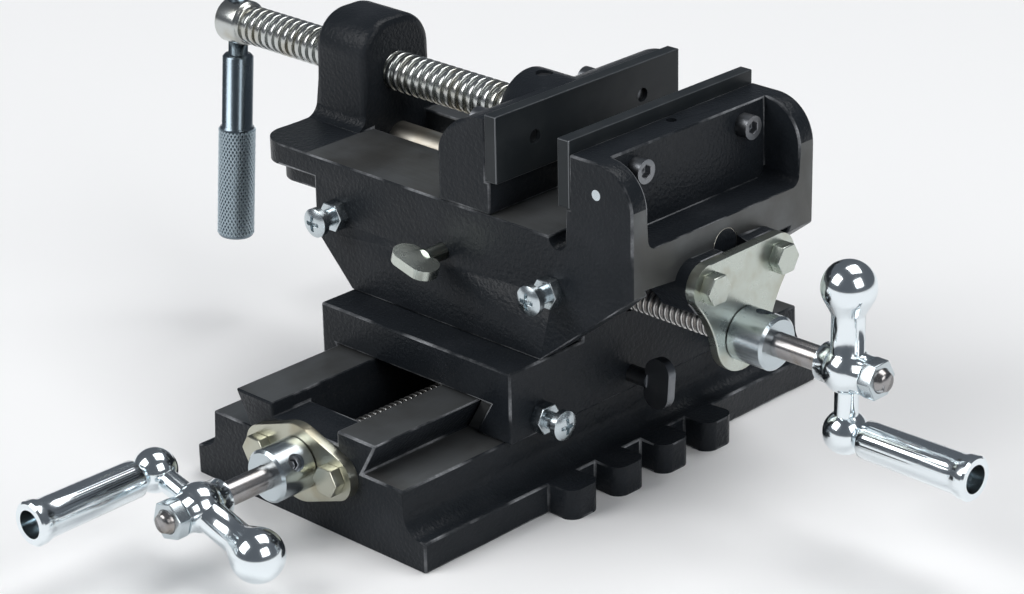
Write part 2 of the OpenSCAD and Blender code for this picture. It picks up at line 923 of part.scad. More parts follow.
module gib_screw_shape(tip_depth) {
    translate([0, 0, -tip_depth])
        cylinder(d = gib_screw, h = tip_depth + gib_screw_out);
    translate([0, 0, gib_screw_out])
        pan_head();
}

module gib_nut_shape() {
    difference() {
        hexagon(gib_nut_hex, gib_nut_high);
        translate([0, 0, -past])
            cylinder(d = gib_screw + 2 * round_fit, h = gib_nut_high + 2 * past);
    }
}

// Lock screw with a flat wing for finger and thumb
module lock_screw_shape(tip_depth, turn) {
    translate([0, 0, -tip_depth])
        cylinder(d = gib_screw, h = tip_depth + lock_bare + past);
    rotate(turn)
        translate([0, wing_thick / 2, lock_bare])
            rotate([90, 0, 0])
                linear_extrude(wing_thick)
                    union() {
                        for (side = [-1, 1])
                            translate([side * (wing_wide - wing_deep) / 2, wing_deep / 2])
                                circle(d = wing_deep);
                        translate([-(wing_wide - wing_deep) / 2, 0])
                            square([wing_wide - wing_deep, wing_deep]);
                    }
}

module saddle_gib_screws() {
    color(bright_zinc)
        for (side = [-1, 1])
            at_saddle_side(side * saddle_gib_half)
                gib_screw_shape(saddle_screw_in);
}

module saddle_gib_nuts() {
    color(bright_zinc)
        for (side = [-1, 1])
            at_saddle_side(side * saddle_gib_half)
                gib_nut_shape();
}

module saddle_lock_screw() {
    color(dark_steel)
        at_saddle_side(0)
            lock_screw_shape(saddle_screw_in, saddle_wing_turn);
}

module base_lead_nut() {
    color(nut_bronze)
        difference() {
            union() {
                box([-nut_wide / 2, mid_y - nut_long / 2, base_axis_high - nut_wide / 2],
                    [nut_wide / 2, mid_y + nut_long / 2, saddle_ceiling]);
                bar_z(spigot_thick, saddle_ceiling - past, saddle_ceiling + spigot_long, 0, mid_y);
            }
            bar_y(lead_thick + 2 * round_fit, mid_y - nut_long, mid_y + nut_long, 0, base_axis_high);
        }
}

module cross_lead_nut() {
    color(nut_bronze)
        difference() {
            box([nut_middle - nut_long / 2, mid_y - nut_wide / 2, nut_low],
                [nut_middle + nut_long / 2, mid_y + nut_wide / 2, nut_low + nut_wide]);
            bar_x(lead_thick + 2 * round_fit, nut_middle - nut_long, nut_middle + nut_long,
                mid_y, cross_axis_z);
        }
}

module body_side_outline() {
    polygon([
        [-skirt_low_rear, skirt_z], [skirt_low_front, skirt_z],
        [body_front, skirt_z + front_slope_rise], [body_front, bed_z],
        [-skirt_rear, bed_z], [-skirt_rear, skirt_z + rear_slope_rise]
    ]);
}

// Plan of the shelf behind the skirts, drawn in by an inset below its lip
module shelf_plan(inset) {
    translate([-skirt_rear, mid_y])
        mirror([1, 0])
            rounded_tab(shelf_long - inset, jaw_wide - 2 * inset, shelf_round);
}

module shelf() {
    translate([0, 0, bed_z - shelf_lip])
        linear_extrude(shelf_lip)
            shelf_plan(0);
    translate([0, 0, bed_z - shelf_thick])
        linear_extrude(shelf_thick)
            shelf_plan(shelf_inset);
}

module nut_boss() {
    translate([0, mid_y, bed_z - past])
        along_x(shelf_rear, boss_front)
            rotate(90)
                rounded_tab(boss_top - bed_z + past, boss_wide, boss_round);
    for (side = [0, 1])
        translate([0, mid_y, bed_z])
            mirror([0, side, 0])
                along_x(shelf_rear, boss_front)
                    translate([boss_wide / 2, 0])
                        corner_fillet(boss_fillet);
}

// The metal left in a corner by a round cutter, in the quarter of +X and +Y
module corner_fillet(round) {
    difference() {
        translate([-fillet_dip, -fillet_dip] * 2)
            square(round + fillet_dip);
        translate([round - fillet_dip, round - fillet_dip])
            circle(round);
    }
}

module fixed_jaw_outline() {
    round_x = body_front - cheek_round;
    round_z = jaw_top - cheek_round;
    translate([jaw_face, bed_z - past])
        square([round_x - jaw_face, jaw_high + past]);
    translate([jaw_face, bed_z - past])
        square([body_front - jaw_face, round_z - bed_z + past]);
    intersection() {
        translate([round_x, round_z])
            circle(cheek_round);
        translate([round_x - past, round_z - past])
            square(cheek_round + past);
    }
}

// The way under the bed: wide between the skirts, then a female dovetail with room for its gib
module cross_slot_outline() {
    wide_half = jaw_wide / 2 - skirt_thick;
    translate([-wide_half, skirt_z - past])
        square([2 * wide_half, neck_top - skirt_z + past]);
    difference() {
        dovetail(neck_half + flank_gib, neck_half + flank_fit, neck_top, body_ceiling);
        translate([-rod_rib_half, rod_rib_low])
            square([2 * rod_rib_half, body_ceiling]);
    }
}

// Open at the top and the back, with its lower corners rounded
module jaw_pocket() {
    top = jaw_top + past;
    translate([0, mid_y, top])
        along_x(jaw_wall_back, body_front + past)
            rotate(-90)
                rounded_tab(top - bed_z - pocket_floor, jaw_wide - 2 * cheek_thick, pocket_round);
}

module bracket_lug() {
    at_cross_screw()
        translate([0, 0, -cross_lug_thick])
            linear_extrude(cross_lug_thick)
                intersection() {
                    cross_bracket_outline();
                    translate([-cross_lug_wide / 2, cross_bolt_rise - cross_lug_low])
                        square([cross_lug_wide, cross_lug_low + 2 * bracket_ear]);
                }
}

module plate_screw_places() {
    for (side = [-1, 1])
        translate([0, mid_y + side * plate_screw_pitch / 2, plate_screw_z])
            rotate([0, 90, 0])
                children();
}

module vise_body_casting() {
    color(cast_black)
        difference() {
            union() {
                difference() {
                    union() {
                        along_y(near_y, far_y)
                            body_side_outline();
                        shelf();
                    }
                    translate([0, mid_y, 0])
                        along_x(shelf_rear - past, body_front + past)
                            cross_slot_outline();
                }
                bracket_lug();
                nut_boss();
                along_y(near_y, far_y)
                    fixed_jaw_outline();
            }
            box([boss_front, mid_y - slot_wide / 2, rod_rib_low - past],
                [slot_front, mid_y + slot_wide / 2, bed_z + past]);
            bar_x(rod_thick, shelf_rear - past, cross_seat + past, mid_y, rod_z);
            bar_x(clamp_thick + 2 * round_fit, shelf_rear - past, boss_front + past, mid_y, clamp_z);
            bar_y(2 * relief_round, near_y - past, far_y + past, jaw_face - relief_round, bed_z);
            jaw_pocket();
            box([jaw_face - past, near_y - past, plate_low],
                [fixed_plate_back, far_y + past, jaw_top + past]);
            plate_screw_places()
                translate([0, 0, jaw_face - past])
                    cylinder(d = plate_screw_thick + 2 * round_fit, h = jaw_wall + 2 * past);
            bar_y(cheek_pin_thick, near_y - past, near_y + cheek_thick + past, cheek_pin_x, cheek_pin_z);
            bar_z(stop_hole, jaw_top - stop_hole_deep, jaw_top + past, fixed_plate_back + stop_hole, mid_y);
            at_cross_screw()
                for (bolt = cross_bolts)
                    translate([bolt.x, bolt.y, -bolt_grip - past])
                        cylinder(d = bolt_thick + 2 * round_fit, h = bolt_grip + 2 * past);
            for (along = [-body_gib_half, 0, body_gib_half])
                at_body_side(body_gib_middle + along)
                    side_screw_hole(body_screw_in);
        }
}

module cheek_pin() {
    color(bright_zinc)
        bar_y(cheek_pin_thick, near_y, near_y + cheek_thick, cheek_pin_x, cheek_pin_z);
}

module guide_rod() {
    color(steel)
        bar_x(rod_thick, shelf_rear, body_front, mid_y, rod_z);
}

module jaw_plate(back) {
    difference() {
        box([back, near_y, plate_low], [back + plate_thick, far_y, plate_top]);
        plate_screw_places()
            translate([0, 0, back - past])
                cylinder(d = plate_screw_thick + 2 * round_fit, h = plate_thick + 2 * past);
    }
}

module fixed_jaw_plate() {
    color(dark_steel)
        jaw_plate(fixed_plate_face);
}

// Socket-head screw along X from its seat, with the head on the side given
module plate_screw(seat, tip, head_side) {
    low = min(seat, tip);
    translate([0, 0, low])
        cylinder(d = plate_screw_thick, h = max(seat, tip) - low);
    translate([0, 0, head_side > 0 ? seat : seat - plate_screw_thick])
        difference() {
            cylinder(d = plate_screw_head, h = plate_screw_thick);
            translate([0, 0, head_side > 0 ? plate_screw_thick / 2 : -past])
                hexagon(plate_screw_thick * socket_ratio, plate_screw_thick / 2 + past);
        }
}

module fixed_jaw_screws() {
    color(dark_steel)
        plate_screw_places()
            plate_screw(jaw_wall_back, fixed_plate_face + plate_screw_end, 1);
}

module body_gib() {
    color(machined)
        translate([0, mid_y, 0])
            along_x(past - skirt_rear, skirt_low_front)
                difference() {
                    dovetail(neck_half + gib_face, 0, neck_top, cross_way_top);
                    dovetail(neck_half + flank_fit, past, neck_top - past, cross_way_top + past);
                }
}

module body_gib_screws() {
    color(bright_zinc)
        for (side = [-1, 1])
            at_body_side(body_gib_middle + side * body_gib_half)
                gib_screw_shape(body_screw_in);
}

module body_gib_nuts() {
    color(bright_zinc)
        for (side = [-1, 1])
            at_body_side(body_gib_middle + side * body_gib_half)
                gib_nut_shape();
}

module body_lock_screw() {
    color(bright_zinc)
        at_body_side(body_gib_middle)
            lock_screw_shape(body_screw_in, body_wing_turn);
}

// Rounded triangle with hollow flanks: two ears at the bolts and one disc at the screw
module cross_bracket_outline() {
    left = cross_bolts[0];
    right = cross_bolts[1];
    hollow = 2 * cross_bolt_rise;
    circle(cross_bracket_low);
    for (bolt = cross_bolts)
        translate(bolt)
            circle(bracket_ear);
    polygon([left, right, [0, 0]]);
    translate(left)
        square([2 * bracket_bolt_half, bracket_ear]);
    hollow_web(left, bracket_ear, [0, 0], cross_bracket_low, hollow, -1);
    hollow_web(right, bracket_ear, [0, 0], cross_bracket_low, hollow, 1);
}

module cross_bracket() {
    color(bright_zinc)
        at_cross_screw()
            bracket(cross_bolts)
                cross_bracket_outline();
}

module cross_bracket_bolts() {
    color(bright_zinc)
        at_cross_screw()
            bracket_bolts(cross_bolts);
}

module cross_lead_screw() {
    color(steel)
        at_cross_screw()
            lead_screw(cross_thread_long);
}

module cross_collar() {
    color(bright_zinc)
        at_cross_screw()
            collar(cross_collar_turn);
}

module cross_collar_screw() {
    color(dark_steel)
        at_cross_screw()
            collar_screw(cross_collar_turn);
}

module cross_crank_arm() {
    color(bright_zinc)
        at_cross_screw()
            crank_arm();
}

module cross_crank_nut() {
    color(bright_zinc)
        at_cross_screw()
            crank_nut();
}

module cross_grip_pin() {
    color(dark_steel)
        at_cross_screw()
            grip_pin();
}

module cross_grip() {
    color(bright_zinc)
        at_cross_screw()
            grip();
}

// Moving jaw seen from the side, with its upper back edge rounded
module moving_jaw_outline() {
    low = bed_z + slide_fit;
    top = plate_top - moving_drop;
    translate([moving_back, low])
        square([moving_thick, top - moving_round - low]);
    translate([moving_back + moving_round, low])
        square([moving_thick - moving_round, top - low]);
    intersection() {
        translate([moving_back + moving_round, top - moving_round])
            circle(moving_round);
        translate([moving_back, low])
            square([moving_round + past, top - low]);
    }
}

module moving_jaw_plan() {
    translate([moving_front, mid_y])
        mirror([1, 0])
            rounded_tab(moving_thick, jaw_wide, moving_corner);
}

module moving_jaw() {
    tongue_half = slot_wide / 2 - roof_fit;
    color(cast_black)
        difference() {
            union() {
                intersection() {
                    along_y(near_y, far_y)
                        moving_jaw_outline();
                    linear_extrude(plate_top)
                        moving_jaw_plan();
                }
                bar_x(hub_thick, moving_back, moving_front - plate_rebate, mid_y, clamp_z);
                box([moving_back, mid_y - tongue_half, bed_z - tongue_deep],
                    [moving_front, mid_y + tongue_half, bed_z + past]);
            }
            box([moving_plate_back, near_y - past, plate_low], [moving_front + past, far_y + past,
                plate_top + past]);
            bar_x(clamp_journal + 2 * round_fit, moving_back - past, moving_back + clamp_seat,
                mid_y, clamp_z);
            bar_x(rod_thick + 2 * round_fit, moving_back - past, moving_front + past, mid_y, rod_z);
            bar_z(retainer_thick + 2 * round_fit, clamp_z, plate_top + hub_thick, retainer_x, mid_y);
            plate_screw_places() {
                translate([0, 0, moving_back - past])
                    cylinder(d = plate_screw_thick + 2 * round_fit, h = moving_thick + 2 * past);
                translate([0, 0, moving_back - past])
                    cylinder(d = plate_screw_head + 2 * round_fit, h = plate_screw_thick + 2 * past);
            }
        }
}

module moving_jaw_plate() {
    color(dark_steel)
        jaw_plate(moving_plate_back);
}

module moving_jaw_screws() {
    color(dark_steel)
        plate_screw_places()
            plate_screw(moving_back + plate_screw_thick + past, moving_plate_face - plate_screw_end, -1);
}

module screw_retainer() {
    color(dark_steel)
        bar_z(retainer_thick, clamp_z + groove_half + slide_fit, clamp_z + hub_thick / 2 - past,
            retainer_x, mid_y);
}

module at_clamp_head() {
    translate([clamp_head_middle, mid_y, clamp_z])
        rotate([-handle_turn, 0, 0])
            children();
}

// Clamp screw: thread, a plain end with a groove for its retainer, and a rounded head
module clamp_screw() {
    seat_end = moving_back + clamp_seat - roof_fit;
    groove_from = retainer_x - retainer_thick / 2 - slide_fit;
    groove_to = retainer_x + retainer_thick / 2 + slide_fit;
    bevel = clamp_head_thick / 5;
    head = clamp_head_thick / 2;
    color(steel)
        difference() {
            union() {
                bar_x(clamp_thick, clamp_head_front, clamp_shoulder, mid_y, clamp_z);
                bar_x(clamp_journal, clamp_shoulder, groove_from, mid_y, clamp_z);
                bar_x(2 * groove_half, groove_from, groove_to, mid_y, clamp_z);
                bar_x(clamp_journal, groove_to, seat_end, mid_y, clamp_z);
                translate([clamp_head_front, mid_y, clamp_z])
                    rotate([0, -90, 0])
                        rotate_extrude()
                            polygon([
                                [0, 0], [head - bevel / 2, 0], [head, bevel / 2],
                                [head, clamp_head_long - bevel], [head - bevel, clamp_head_long],
                                [0, clamp_head_long]
                            ]);
            }
            at_clamp_head()
                translate([0, 0, -clamp_head_thick])
                    cylinder(d = handle_stud + 2 * round_fit, h = 2 * clamp_head_thick);
        }
}

// Handle: a stud in the head, a smooth shank and a thicker knurled end
module clamp_handle() {
    knurl_from = handle_seat + handle_shank_long;
    handle_end = knurl_from + handle_knurl_long;
    shank = handle_shank_thick / 2;
    knurl = handle_knurl_thick / 2;
    stud = handle_stud / 2;
    chamfer = 0.8;
    color(bright_zinc)
        at_clamp_head()
            rotate([180, 0, 0])
                rotate_extrude()
                    polygon([
                        [0, -clamp_head_thick / 2], [stud, -clamp_head_thick / 2],
                        [stud, handle_seat], [shank - chamfer, handle_seat],
                        [shank, handle_seat + chamfer], [shank, knurl_from],
                        [knurl, knurl_from + chamfer], [knurl, handle_end - chamfer],
                        [knurl - chamfer, handle_end], [0, handle_end]
                    ]);
}

base_casting();
base_bracket();
base_bracket_bolts();
base_lead_screw();
base_collar();
base_collar_screw();
base_crank_arm();
base_crank_nut();
base_grip_pin();
base_grip();
saddle_casting();
saddle_gib();
saddle_gib_screws();
saddle_gib_nuts();
saddle_lock_screw();
base_lead_nut();
cross_lead_nut();
vise_body_casting();
fixed_jaw_plate();
fixed_jaw_screws();
cheek_pin();
guide_rod();
body_gib();
body_gib_screws();
body_gib_nuts();
body_lock_screw();
cross_bracket();
cross_bracket_bolts();
cross_lead_screw();
cross_collar();
cross_collar_screw();
cross_crank_arm();
cross_crank_nut();
cross_grip_pin();
cross_grip();
moving_jaw();
moving_jaw_plate();
moving_jaw_screws();
screw_retainer();
clamp_screw();
clamp_handle();
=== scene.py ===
import json
import math

import bmesh
import bpy
from mathutils import Matrix, Vector

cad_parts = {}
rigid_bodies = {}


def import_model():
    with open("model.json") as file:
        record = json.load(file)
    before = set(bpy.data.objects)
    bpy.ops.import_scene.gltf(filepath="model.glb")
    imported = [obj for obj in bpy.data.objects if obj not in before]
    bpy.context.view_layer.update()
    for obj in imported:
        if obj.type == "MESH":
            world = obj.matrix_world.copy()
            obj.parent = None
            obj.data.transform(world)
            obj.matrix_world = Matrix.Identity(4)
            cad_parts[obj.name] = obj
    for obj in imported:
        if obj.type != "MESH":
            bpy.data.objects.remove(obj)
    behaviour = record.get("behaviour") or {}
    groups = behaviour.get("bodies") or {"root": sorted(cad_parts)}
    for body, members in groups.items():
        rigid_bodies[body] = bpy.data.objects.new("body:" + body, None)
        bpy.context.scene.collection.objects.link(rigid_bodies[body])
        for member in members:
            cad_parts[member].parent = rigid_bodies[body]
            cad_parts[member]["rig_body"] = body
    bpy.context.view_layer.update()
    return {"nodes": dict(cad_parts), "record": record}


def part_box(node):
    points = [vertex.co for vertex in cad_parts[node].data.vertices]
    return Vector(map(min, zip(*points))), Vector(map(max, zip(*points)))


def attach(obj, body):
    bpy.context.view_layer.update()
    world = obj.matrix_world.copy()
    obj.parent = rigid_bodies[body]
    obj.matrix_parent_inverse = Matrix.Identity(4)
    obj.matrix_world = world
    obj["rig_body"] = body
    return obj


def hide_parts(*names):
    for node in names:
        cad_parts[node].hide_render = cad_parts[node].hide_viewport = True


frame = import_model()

scene = bpy.context.scene
mm = 0.001


# Studio. The camera stands where the photographer stood, a little above the vise and off its
# corner, with a long lens. A wide pale floor fills the picture. Two soft boxes and a top light
# leave darker gaps between them, which give the plated parts their contrast.
camera_turn, camera_rise, camera_roll = (math.radians(angle) for angle in (44.34, 23.49, -1.195))
camera_aim = Vector((-65.7, 66.9, 0.0)) * mm
camera_far, camera_near_clip = 1020.4 * mm, 50 * mm
camera_lens = 111.9
sky_tint, sky_strength = (0.80, 0.88, 1.0, 1), 0.13
floor_half, floor_white = 4.0, (0.94, 0.94, 0.94, 1)
lamp_aim = Vector((0, 0, 50)) * mm

back = Vector((math.sin(camera_turn) * math.cos(camera_rise),
               -math.cos(camera_turn) * math.cos(camera_rise), math.sin(camera_rise)))
level = Vector((math.cos(camera_turn), math.sin(camera_turn), 0))
upright = back.cross(level)
right = level * math.cos(camera_roll) + upright * math.sin(camera_roll)
up = upright * math.cos(camera_roll) - level * math.sin(camera_roll)
camera = bpy.data.objects.new("camera", bpy.data.cameras.new("camera"))
camera.data.lens = camera_lens
camera.data.clip_start = camera_near_clip
camera.matrix_world = Matrix((right, up, back)).transposed().to_4x4()
camera.location = camera_aim + back * camera_far
scene.collection.objects.link(camera)
scene.camera = camera
scene.view_settings.view_transform = "Standard"

world = bpy.data.worlds.new("studio")
scene.world = world
world.use_nodes = True
sky = world.node_tree.nodes["Background"]
sky.inputs["Color"].default_value = sky_tint
sky.inputs["Strength"].default_value = sky_strength

floor_mesh = bpy.data.meshes.new("floor")
floor_mesh.from_pydata([(-floor_half, -floor_half, 0), (floor_half, -floor_half, 0),
                        (floor_half, floor_half, 0), (-floor_half, floor_half, 0)], [], [(0, 1, 2, 3)])
floor = bpy.data.objects.new("floor", floor_mesh)
floor_paint = bpy.data.materials.new("pale_floor")
floor_paint.use_nodes = True
floor_shader = floor_paint.node_tree.nodes["Principled BSDF"]
floor_shader.inputs["Base Color"].default_value = floor_white
floor_shader.inputs["Roughness"].default_value = 1.0
floor_shader.inputs["Specular IOR Level"].default_value = 0.0
floor_mesh.materials.append(floor_paint)
scene.collection.objects.link(floor)


def soft_box(name, at, wide, watts):
    """A square lamp that looks at the vise."""
    lamp = bpy.data.lights.new(name, "AREA")
    lamp.size, lamp.energy = wide, watts
    made = bpy.data.objects.new(name, lamp)
    made.location = at
    made.rotation_euler = (lamp_aim - Vector(at)).to_track_quat("-Z", "Y").to_euler()
    scene.collection.objects.link(made)


soft_box("key", (-1.0, -1.9, 1.75), 1.6, 41.5)
soft_box("fill", (2.1, -0.2, 1.4), 1.4, 19.4)
soft_box("top", (0.2, 0.8, 2.35), 1.6, 31.5)


# Base casting. Grey iron, painted glossy black all over, then planed on the dovetail way and its
# shoulders. Each piece of the vise is a bevelled copy of its CAD mesh, and on the castings the
# bevels show bright iron in patches: partly paint rubbed through, partly a painted highlight
# along the edges.
class Sock:
    """An output of a node tree that takes part in sums, so that a tree reads as a formula."""

    def __init__(self, tree, socket):
        self.tree, self.socket = tree, socket

    def make(self, kind, inputs=(), out=0, **settings):
        """Any other node: settings by name, inputs by name or number, one output given back."""
        made = self.tree.nodes.new(kind)
        for name, value in settings.items():
            setattr(made, name, value)
        for key, value in dict(inputs).items():
            links = [value] if isinstance(value, Sock) else value if isinstance(value, list) else []
            for link in links:
                self.tree.links.new(link.socket, made.inputs[key])
            if not links:
                made.inputs[key].default_value = value
        return Sock(self.tree, made.outputs[out])

    def sum(self, operation, first, second):
        return self.make("ShaderNodeMath", {0: first, 1: second}, operation=operation)

    def __add__(self, other):
        return self.sum("ADD", self, other)

    def __radd__(self, other):
        return self.sum("ADD", other, self)

    def __sub__(self, other):
        return self.sum("SUBTRACT", self, other)

    def __rsub__(self, other):
        return self.sum("SUBTRACT", other, self)

    def __mul__(self, other):
        return self.sum("MULTIPLY", self, other)

    def __rmul__(self, other):
        return self.sum("MULTIPLY", other, self)

    def __truediv__(self, other):
        return self.sum("DIVIDE", self, other)

    def __rtruediv__(self, other):
        return self.sum("DIVIDE", other, self)

    def step(self, low, high):
        return self.make("ShaderNodeMapRange", {0: self, 1: low, 2: high}, interpolation_type="SMOOTHSTEP")

    def mix(self, low, high):
        return self.make("ShaderNodeMix", {0: self, 6: low, 7: high}, out=2, data_type="RGBA")


def new_material(name):
    """A material, its object coordinates and its surface."""
    made = bpy.data.materials.new(name)
    made.use_nodes = True
    tree = made.node_tree
    place = Sock(tree, tree.nodes.new("ShaderNodeTexCoord").outputs["Object"])
    return made, place, tree.nodes["Principled BSDF"]


def feed(surface, **values):
    """Puts constants and sums on the surface's inputs, named with underscores."""
    for name, value in values.items():
        socket = surface.inputs[name.replace("_", " ")]
        if isinstance(value, Sock):
            value.tree.links.new(value.socket, socket)
        else:
            socket.default_value = value


def noise(place, scale, detail, stretch=(1, 1, 1)):
    """Soft random patches, drawn out along an axis where its stretch is small."""
    stretched = place.make("ShaderNodeMapping", {"Vector": place, "Scale": stretch})
    return place.make("ShaderNodeTexNoise", {"Vector": stretched, "Scale": scale, "Detail": detail})


def tool_marks(place, along):
    """Fine scratches that run along one axis, as a planer or a grinder leaves them."""
    return noise(place, 1500, 2, tuple(0.03 if axis == along else 1 for axis in range(3)))


def bumped(place, height, strength, far):
    """A surface direction tilted by the slope of a height."""
    return place.make("ShaderNodeBump", {"Height": height, "Strength": strength, "Distance": far})


paint_black = (0.0135, 0.0163, 0.0200, 1)
paint_dull = (0.0195, 0.0225, 0.0270, 1)
bare_iron = (0.70, 0.72, 0.75, 1)
planed_grey, oil_film = (0.150, 0.159, 0.164, 1), (0.092, 0.093, 0.090, 1)
skin_deep, mark_deep = 0.4 * mm, 0.08 * mm


def painted_iron(name, wear_and_highlight):
    """Glossy black over a cast skin, with bright bare iron in patches; the second argument, 0 to 1, sets
    how much shows: worn paint, and on edge strips a painted highlight.
    """
    made, place, surface = new_material(name)
    skin = noise(place, 900, 4)
    blotch = noise(place, 60, 5)
    paint = blotch.step(0.45, 0.75).mix(paint_black, paint_dull)
    # Bright iron in patches: worn paint, and where this lies on edge strips a painted highlight.
    rub_and_highlight = noise(place, 70, 4).step(0.40, 0.72) * (0.25 + noise(place, 1400, 2)) * wear_and_highlight
    feed(surface, Base_Color=rub_and_highlight.mix(paint, bare_iron), Metallic=rub_and_highlight * 0.7, Roughness=0.20 + blotch * 0.26,
         Specular_IOR_Level=0.16, Normal=bumped(place, skin, 0.65, skin_deep))
    return made


def planed_iron(name, along):
    """Machined grey iron with tool marks along one axis and a brown film of old oil."""
    made, place, surface = new_material(name)
    marks = tool_marks(place, along)
    film = noise(place, 45, 4).step(0.35, 0.7)
    feed(surface, Base_Color=film.mix(planed_grey, oil_film), Metallic=0.7,
         Roughness=0.30 + marks * 0.16, Normal=bumped(place, marks, 0.2, mark_deep))
    return made


nodes = frame["nodes"]
weld = 0.002 * mm
flat_turn, smooth_turn, sharp_turn = (math.radians(angle) for angle in (0.5, 22, 35))


def rounded(node, width, soft=0, where=None):
    """A merged copy of a CAD piece with its long sharp edges rounded; those strips take material 1.

    Where the test where() holds, edges are rounded soft wide instead and keep material 0."""
    mesh = nodes[node].data.copy()
    mesh.materials.clear()
    for _ in range(3):
        mesh.materials.append(None)
    shape = bmesh.new()
    shape.from_mesh(mesh)
    bmesh.ops.remove_doubles(shape, verts=shape.verts, dist=weld)
    bmesh.ops.dissolve_limit(shape, angle_limit=flat_turn, verts=shape.verts, edges=shape.edges)
    weight = shape.edges.layers.float.new("bevel_weight_edge")
    for edge in shape.edges:
        if not edge.is_manifold or edge.calc_length() < 2 * width:
            continue
        if edge.calc_face_angle(0) > sharp_turn:
            cast = where and where((edge.verts[0].co + edge.verts[1].co) / 2)
            edge[weight] = 1 if cast or not soft else width / soft
    shape.to_mesh(mesh)
    shape.free()
    made = bpy.data.objects.new(node + "_rounded", mesh)
    scene.collection.objects.link(made)
    bevel = made.modifiers.new("round", "BEVEL")
    bevel.limit_method, bevel.width, bevel.segments = "WEIGHT", soft or width, 4 if soft else 2
    bevel.use_clamp_overlap, bevel.material = False, 1
    made = settled(made)
    for face in made.data.polygons:
        if where and where(face.center):
            face.material_index = 0
    return made


def settled(made):
    """Turns an object's modifiers into a plain mesh, shaded smooth except at its sharp edges."""
    plain = bpy.data.meshes.new_from_object(made.evaluated_get(bpy.context.evaluated_depsgraph_get()))
    made.modifiers.clear()
    made.data = plain
    plain.shade_smooth()
    plain.set_sharp_from_angle(angle=smooth_turn)
    return made


def dress(made, node, *materials):
    """Gives a piece its materials and puts it in the place of its CAD node."""
    for index, material in enumerate(materials):
        made.data.materials[index] = material
    while len(made.data.materials) > len(materials):
        made.data.materials.pop()
    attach(made, nodes[node]["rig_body"])
    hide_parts(node)


level_slack = 0.1 * mm


def plane_faces(made, facing, *levels, beyond=-math.inf):
    """Gives material 2 to the flat faces that look one way, lie at a level and past an x."""
    for face in made.data.polygons:
        level = face.center.dot(facing)
        flat = face.normal.dot(facing) > 0.99 and face.center.x > beyond
        if flat and any(abs(level - at) < level_slack for at in levels):
            face.material_index = 2


black_paint = painted_iron("black_paint", 0.0)
# The castings' bevel strips: bright iron in patches, partly wear and partly a painted highlight on the
# edges.
highlit_worn_edge = painted_iron("highlit_worn_edge", 0.6)
planed_y = planed_iron("planed_along_y", 1)
planed_x = planed_iron("planed_along_x", 0)
above, outward = Vector((0, 0, 1)), Vector((1, 0, 0))
cast_round, slide_gap = 0.6 * mm, 0.1 * mm

way_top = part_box("base_casting")[1][2]
way_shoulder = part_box("saddle_casting")[0][2] - slide_gap
base = rounded("base_casting", cast_round)
plane_faces(base, above, way_top, way_shoulder)
dress(base, "base_casting", black_paint, highlit_worn_edge, planed_y)


# Lower feed. A steel lead screw runs along the base, held by a set collar at a plated bracket with
# two bolts. A ball crank with a hollow grip turns it, kept on by a hexagon nut. The screw's thread
# is a ridge wound round its core by Geometry Nodes, in a paler steel than the core: a painted
# highlight on the crests.
def plated(name, colour, rough, ripple=0.0, stain=None):
    """Zinc or steel: a metal with a faint uneven gloss, and a second tint in patches."""
    made, place, surface = new_material(name)
    cloud = noise(place, 110, 4)
    feed(surface, Metallic=1.0, Roughness=cloud * 0.12 + (rough - 0.06),
         Base_Color=cloud.step(0.45, 0.7).mix(colour, stain or colour))
    if ripple:
        feed(surface, Normal=bumped(place, noise(place, 130, 2), ripple, skin_deep))
    return made


def wound_ridges():
    """Geometry Nodes: ridges wound about Z from the origin, so many starts in one hand or both."""
    group = bpy.data.node_groups.new("wound_ridges", "GeometryNodeTree")
    inputs = {"Length": "Float", "Turns": "Float", "Radius": "Float", "Ridge": "Float", "Width": "Float",
              "Starts": "Int", "Left hand too": "Bool", "Points": "Int", "Material": "Material"}
    for name, kind in inputs.items():
        group.interface.new_socket(name, in_out="INPUT", socket_type="NodeSocket" + kind)
    group.interface.new_socket("Geometry", in_out="OUTPUT", socket_type="NodeSocketGeometry")
    outputs = group.nodes.new("NodeGroupInput").outputs
    given = [Sock(group, outputs[name]) for name in inputs]
    length, turns, radius, ridge, wide, starts, both, points, material = given
    section = length.make("GeometryNodeCurvePrimitiveQuadrilateral", {"Width": ridge * 2, "Height": wide})
    section = length.make("GeometryNodeFilletCurve", {
        "Curve": section, "Radius": wide * 0.28, "Count": 3}, mode="POLY")
    share = length.make("GeometryNodeInputIndex") * math.tau / starts
    spread = length.make("ShaderNodeCombineXYZ", {"Z": share})
    here = length.make("GeometryNodeMeshLine", {"Count": starts, "Offset": (0, 0, 0)})
    hands = []
    for left in (False, True):
        path = length.make("GeometryNodeCurveSpiral", {
            "Resolution": points, "Rotations": turns, "Start Radius": radius, "End Radius": radius,
            "Height": length, "Reverse": left})
        path = length.make("GeometryNodeSetCurveNormal", {"Curve": path}, mode="Z_UP")
        wound = length.make("GeometryNodeCurveToMesh",
                            {"Curve": path, "Profile Curve": section, "Fill Caps": True})
        hands.append(length.make("GeometryNodeInstanceOnPoints",
                                 {"Points": here, "Instance": wound, "Rotation": spread}))
    hands[1] = length.make("GeometryNodeSwitch", {"Switch": both, "True": hands[1]})
    joined = length.make("GeometryNodeJoinGeometry", {"Geometry": hands})
    real = length.make("GeometryNodeRealizeInstances", {"Geometry": joined})
    coated = length.make("GeometryNodeSetMaterial", {"Geometry": real, "Material": material})
    group.links.new(coated.socket, group.nodes.new("NodeGroupOutput").inputs[0])
    return group


ridge_group = wound_ridges()
end_slack, core_slack = 0.01 * mm, 0.45 * mm
ridge_turn = math.radians(50)


